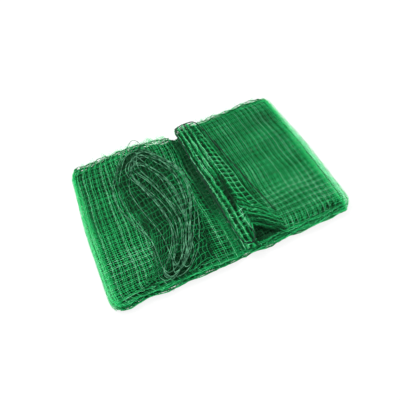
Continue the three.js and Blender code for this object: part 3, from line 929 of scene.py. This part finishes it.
# Each turn's lanes down and up, and the shares of the length at which it turns back
HANK_TURNS = [
    ("outer left", "outer right", -0.93, 1.00),
    ("left", "right", -0.98, 0.93),
    ("slant", "foot loop", -0.97, 0.88),
    ("third", "inner right", -0.86, 0.84),
    ("low slant", "outer right", -0.90, 0.78),
    ("high slant", "right", -0.95, 0.88),
    ("middle", "inner", -0.80, 0.80),
    ("outer left", "outer right", -0.88, 0.96),
    ("slant", "inner right", -0.90, 0.74),
    ("high slant", "right", -0.30, 0.90),
    ("low slant", "inner", -0.93, 0.70),
    ("middle", "outer right", -0.96, 0.83),
]
TURN_POINTS = 60
TURN_WAVES = 100  # how far apart two turns look up their waves
GOLDEN = 0.618  # spreads the turns that share a lane
LANE_APART, LANE_JITTER = (0.16, -0.14), 0.035
TURN_ROUND = 0.55  # the lower, the rounder the turns' ends
# one turn has slipped past the back edge
SLIP_AT, SLIP_WIDTH, SLIP_X, SLIP_Y = 0.49, 0.075, 6, 19
CORD_THICK = 1.0
CORD_STEP = 2.5
TIGHTEST = 2.8 * CORD_THICK  # the least radius of a bend
EASE_ROUNDS, EASE_PLACES = 120, 9
PILE_BLOCK, PILE_SLOPE = 40, 0.22  # places laid at a time, and how steeply they climb
OWN_TAIL = 4  # places before a block that it doesn't climb over
PILE_REACH = 2.5  # how much of the cord's thickness a climb can span
HEAP_CLEAR, HEAP_RISE = 0.3, 2.2


def hank_outline(share):
    """The X of the hank's middle line, and its half width but for its round ends."""
    middle = np.interp(share, OUTLINE_SHARES, OUTLINE_MIDDLE)
    return middle, np.interp(share, OUTLINE_SHARES, OUTLINE_HALF)


def lane_side(lanes, share):
    """The side that each row of lane values gives at its share of the length."""
    place = np.interp(share, LANE_PLACES, np.arange(len(LANE_PLACES)))
    low = np.minimum(place.astype(int), len(LANE_PLACES) - 2)
    part = ease(place - low, 0, 1)
    rows = np.arange(len(share))
    return lanes[rows, low] + (lanes[rows, low + 1] - lanes[rows, low]) * part


def turn_lanes(column, order, other, part):
    """Every place's row of lane values, easing from those of one turn to those of another."""
    lanes = np.array([LANES[turn[column]] for turn in HANK_TURNS])
    apart = (np.arange(len(lanes)) * GOLDEN) % 1 - 0.5
    jitter = RNG.normal(0, LANE_JITTER, lanes.shape)
    lanes = lanes + LANE_APART[column] * apart[:, None] + jitter
    return lanes[order] * (1 - part[:, None]) + lanes[other] * part[:, None]


def hank_plan():
    """The cord's route in plan, turn after turn."""
    last = len(HANK_TURNS) - 1
    turned = np.arange(len(HANK_TURNS) * TURN_POINTS) / TURN_POINTS
    order = np.minimum(turned.astype(int), last)
    part = turned - order
    before, following = np.maximum(order - 1, 0), np.minimum(order + 1, last)
    # each lane gives way to the next while the cord is on the other side
    down = turn_lanes(0, before, order, ease(part, 0.15, 0.35))
    rising = turn_lanes(1, order, following, ease(part, 0.65, 0.85))
    ends = np.array([turn[2:] for turn in HANK_TURNS])
    foot = np.where(part < 0.5, ends[order, 0], ends[following, 0])
    top = ends[order, 1]
    angle = turned * 2 * math.pi - math.pi / 2
    lift = np.sign(np.sin(angle)) * np.abs(np.sin(angle)) ** TURN_ROUND
    share = foot + (top - foot) * (lift + 1) / 2
    left, right = lane_side(down, share), lane_side(rising, share)
    middle, half = hank_outline(share)
    x = middle + half * (left + (right - left) * (np.cos(angle) + 1) / 2)
    y = HANK_MIDDLE_Y + share * HANK_HALF
    along = TURN_WAVES * turned
    x = x + wander("hank x", along, y) + wander("kink x", along, y)
    y = y + wander("hank y", along, x) + wander("kink y", along, x)
    slipped = np.exp(-(((turned - SLIP_AT) / SLIP_WIDTH) ** 2))
    return smoothed(np.stack([x + SLIP_X * slipped, y + SLIP_Y * slipped], axis=1), 2)


def even_route(points):
    """The same route with places a step apart."""
    run = run_along(points)
    places = np.linspace(0, run[-1], max(2, round(run[-1] / CORD_STEP)))
    return np.column_stack([np.interp(places, run, column) for column in points.T])


def smoothed(values, rounds):
    for _ in range(rounds):
        padded = np.concatenate([values[:1], values, values[-1:]])
        values = (padded[:-2] + 2 * padded[1:-1] + padded[2:]) / 4
    return values


def bend_radii(points):
    """The radius of the circle through each place and its two neighbours."""
    before, after = points[1:-1] - points[:-2], points[2:] - points[1:-1]
    whole = np.linalg.norm(before + after, axis=1)
    twice_area = np.abs(before[:, 0] * after[:, 1] - before[:, 1] * after[:, 0])
    sides = np.linalg.norm(before, axis=1) * np.linalg.norm(after, axis=1)
    return sides * whole / (2 * twice_area + 1e-9)


def eased_bends(points):
    """The same route with the bends that are too tight for the cord let out."""
    for _ in range(EASE_ROUNDS):
        points = even_route(points)
        tight = np.concatenate([[False], bend_radii(points) < TIGHTEST, [False]])
        if not tight.any():
            break
        near = np.convolve(tight, np.ones(EASE_PLACES), "same") > 0
        points = np.where(near[:, None], smoothed(points, 2), points)
    return points


def laid_over(part, plan, heights):
    """The height of each place of a part of the cord where it rests on the cord below."""
    apart = np.linalg.norm(part[:, None, :] - plan[None, :, :], axis=2)
    rest = heights[None, :] + np.sqrt(np.maximum(0, CORD_THICK**2 - apart**2))
    return np.where(apart < CORD_THICK, rest, 0).max(axis=1)


def pile_up(plan):
    """Heights for a cord laid down a block at a time, each over what lies there already."""
    heights = np.zeros(len(plan))
    spread = round(PILE_REACH * CORD_THICK / PILE_SLOPE / CORD_STEP)
    for start in range(0, len(plan), PILE_BLOCK):
        part = plan[start : start + PILE_BLOCK]
        raw = heap_floor(part[:, 0], part[:, 1]) + CORD_THICK / 2
        laid = max(0, start - OWN_TAIL)
        if laid:
            raw = np.maximum(raw, laid_over(part, plan[:laid], heights[:laid]))
        eased = raw.copy()
        for shift in range(1, spread):
            drop = PILE_SLOPE * CORD_STEP * shift
            eased[shift:] = np.maximum(eased[shift:], raw[:-shift] - drop)
            eased[:-shift] = np.maximum(eased[:-shift], raw[shift:] - drop)
        heights[start : start + PILE_BLOCK] = smoothed(eased, 3)
    return smoothed(heights, 2)


def heap_mask(x, y):
    """1 well inside the hank's outline, fading to 0 at its rim."""
    share = np.clip((y - HANK_MIDDLE_Y) / HANK_HALF, -0.999, 0.999)
    middle, half = hank_outline(share)
    side = (x - middle) / (half * np.sqrt(1 - share**4))
    return 1 - ease(np.abs(side), 0.6, 0.95)


def heap_floor(x, y):
    """The top of what the cord lies on: the net, and the net gathered under the cord."""
    net = level_height(HALVES_LEVEL, x, np.clip(y, -DEPTH / 2, DEPTH / 2)) + SHEET / 2
    return net + HEAP_CLEAR + HEAP_RISE * heap_mask(x, y)


def curve_object(name, points, thick, material):
    """A cord as one open curve."""
    data = bpy.data.curves.new(name, "CURVE")
    data.dimensions = "3D"
    data.bevel_depth = thick / 2 * MM
    data.bevel_resolution = 1
    data.use_fill_caps = True
    spline = data.splines.new("POLY")
    spline.points.add(len(points) - 1)
    rows = np.concatenate([points * MM, np.ones((len(points), 1))], axis=1)
    spline.points.foreach_set("co", rows.ravel())
    data.materials.append(material)
    piece = new_object(name, data)
    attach(piece, "root")
    return piece


def make_hank(material):
    plan = eased_bends(smoothed(even_route(hank_plan()), 2))
    route = np.column_stack([plan, pile_up(plan)])
    piece = curve_object("hank_cord", route, CORD_THICK, material)
    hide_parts("cord_hank")


# Gathered net in the hank: shares of the half width at its left and right sides, at the foot,
# waist and top, where it starts and ends, how many threads run along it, and its look
GATHERS = [
    # left (foot, waist, top), right (foot, waist, top), ends, threads, up, radius, shade (kept
    # dark: painted shadow of the cord over it)
    ((-0.80, -0.85, -0.80), (0.10, 0.60, 0.70), (-0.90, 0.84), 18, 0.7, 0.42, 0.10),
    ((-0.80, -0.75, -0.80), (-0.35, 0.00, 0.00), (-0.88, 0.7), 8, 1.8, 0.33, 0.36),
    ((-0.45, 0.05, 0.10), (0.00, 0.60, 0.70), (-0.7, 0.72), 7, 1.8, 0.33, 0.32),
    ((0.05, 0.36, 0.40), (0.42, 0.95, 0.90), (-0.94, 0.35), 5, 1.4, 0.33, 0.42),
]
GATHER_SLANT, GATHER_CLEAR = 0.05, 0.8
GATHER_JITTER = [0.4, 0.4, 0.24]


def share_along(foot, waist, top, share):
    """A value that goes from the hank's foot to its waist and on to its top."""
    below, above = ease(share, -1, 0), ease(share, 0, 1)
    return (foot + (waist - foot) * below) * (1 - above) + top * above


def gather_points(order, share, across):
    """Places on a gathered stretch of net, at shares of the hank's length and its own width."""
    left, right, up = GATHERS[order][0], GATHERS[order][1], GATHERS[order][4]
    left, right = share_along(*left, share), share_along(*right, share)
    middle, half = hank_outline(share)
    x = middle + half * (left + (right - left) * across)
    y = HANK_MIDDLE_Y + HANK_HALF * (share + GATHER_SLANT * (across - 0.5))
    x = x + wander("gather x", x, y, order)
    y = y + wander("gather y", x, y, order)
    z = level_height(HALVES_LEVEL, x, y) + SHEET / 2 + GATHER_CLEAR + up
    return np.stack([x, y, z + wander("gather z", x, y, order)], axis=-1)


def gathered_net(order, material):
    (low, high), threads, _, radius, shade = GATHERS[order][2:]
    rungs = round((high - low) * HANK_HALF / MESH)
    shares = np.linspace(low, high, 2 * rungs + 1)
    cross = np.linspace(0, 1, 2 * threads - 1)
    lines = [(shares, np.full(len(shares), k / (threads - 1)), X_AXIS) for k in range(threads)]
    lines += [(np.full(len(cross), share), cross, Y_AXIS) for share in shares[::2]]
    strands = []
    for share, across, never in lines:
        points = gather_points(order, share, across)
        points = points + RNG.normal(0, 1, points.shape) * GATHER_JITTER
        strands.append((points, radius, never, shade))
    piece = strands_object(f"gathered_net_{order + 1}", strands, material)
    declare_net("cord_hank")


# The border cord, as in the frame's solid

BORDER_THICK = 2.0
CLEAR = 0.3
SPAN_POINTS = 8
# Along the strip's selvage: shares of its depth, and how far up
SELVAGE = [
    (0.05, 0), (0.16, 0), (0.3, 0), (0.43, 0), (0.58, 0), (0.7, 0), (0.79, 0.4), (0.86, 3.4),
]
SELVAGE_OUT, SELVAGE_DOWN = 0.9, 0.7
SELVAGE_END = (0.92, -1, 3.8)  # share, out and up
# Over the bundle's far end: X, Y and how far up
OVER_END = [
    (45, 119, 1), (42, 122, 1.2), (38, 124.5, 0.8), (32, 126, 0.2), (22, 126, 0), (13, 124, 0),
    (8, 120, 0),
]
# Down the bundle's valley side: Y and level, between two places on the bundle
VALLEY_TOP_Y, VALLEY_FOOT_Y = 113, -114
VALLEY_SIDE = [
    (100, 7.6), (84, 7), (58, 6.8), (28, 7.1), (0, 6.9), (-30, 7.2), (-60, 6.8), (-88, 7.1),
    (-104, 7.6),
]
# Round the bundle's near end: X and Y
NEAR_END = [(15, -122), (22, -125), (29, -123), (33, -114), (33, -98)]


def strip_rest(x, y, up=0.0):
    """A place on top of the strip."""
    rest = float(layer_height(STRIP, x, y)) + SHEET / 2 + BORDER_THICK / 2
    return (x, y, rest + 2 * CLEAR + up)


def selvage_place(share, out, up):
    """A place beside the strip's free edge."""
    y = (share - 0.5) * DEPTH
    x, z, front, back = folded_line(y)[-1][:4]
    y = front + share * (back - front)
    return (x + BORDER_THICK / 2 + out, y, z - SELVAGE_DOWN + up)


def border_route():
    """The border cord's places, the same as its solid's."""

    def beside(y):
        """The X of the cord where it runs down beside the bundle's fold."""
        return turn_x(TURNS[-2], y) - BORDER_THICK / 2 - 3 * CLEAR

    places = [selvage_place(share, SELVAGE_OUT, up) for share, up in SELVAGE]
    places.append(selvage_place(*SELVAGE_END))
    places += [strip_rest(*place) for place in OVER_END]
    places.append(strip_rest(beside(VALLEY_TOP_Y), VALLEY_TOP_Y))
    for y, level in VALLEY_SIDE:
        places.append((beside(y), y, float(level_height(level, beside(y), y))))
    places.append(strip_rest(beside(VALLEY_FOOT_Y), VALLEY_FOOT_Y))
    places += [strip_rest(x, y) for x, y in NEAR_END]
    return np.array(places)


def spline_through(points):
    """A smooth route through the points."""
    first, last = 2 * points[0] - points[1], 2 * points[-1] - points[-2]
    ends = np.concatenate([[first], points, [last]])
    t = np.linspace(0, 1, SPAN_POINTS, endpoint=False)[:, None]
    spans = []
    for a, b, c, d in zip(ends, ends[1:], ends[2:], ends[3:]):
        square, cube = 2 * a - 5 * b + 4 * c - d, 3 * b - a - 3 * c + d
        spans.append((2 * b + (c - a) * t + square * t**2 + cube * t**3) / 2)
    return np.concatenate([*spans, points[-1:]])


def make_border(material):
    route = even_route(spline_through(border_route()))
    piece = curve_object("edge_cord", route, BORDER_THICK, material)
    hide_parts("border_cord")


make_camera()
make_studio()
NET_GREEN = thread_material("net_green", net_colour, 0.3, 0.45, 0.2)
HANK_GREEN = thread_material("hank_green", cord_colour, 0.1, 0.6, 0.15, HANK_COLOURS)
BORDER_GREEN = thread_material("border_green", cord_colour, 0.1, 0.5, 0.2, BORDER_COLOURS)
make_hank(HANK_GREEN)
make_border(BORDER_GREEN)
for ply_number in range(PLIES):
    net_ply(ply_number, NET_GREEN)
pleated_corner(NET_GREEN)
for under_number in range(len(UNDER_HEIGHTS)):
    net_underside(under_number, NET_GREEN)
for gather_number in range(len(GATHERS)):
    gathered_net(gather_number, NET_GREEN)
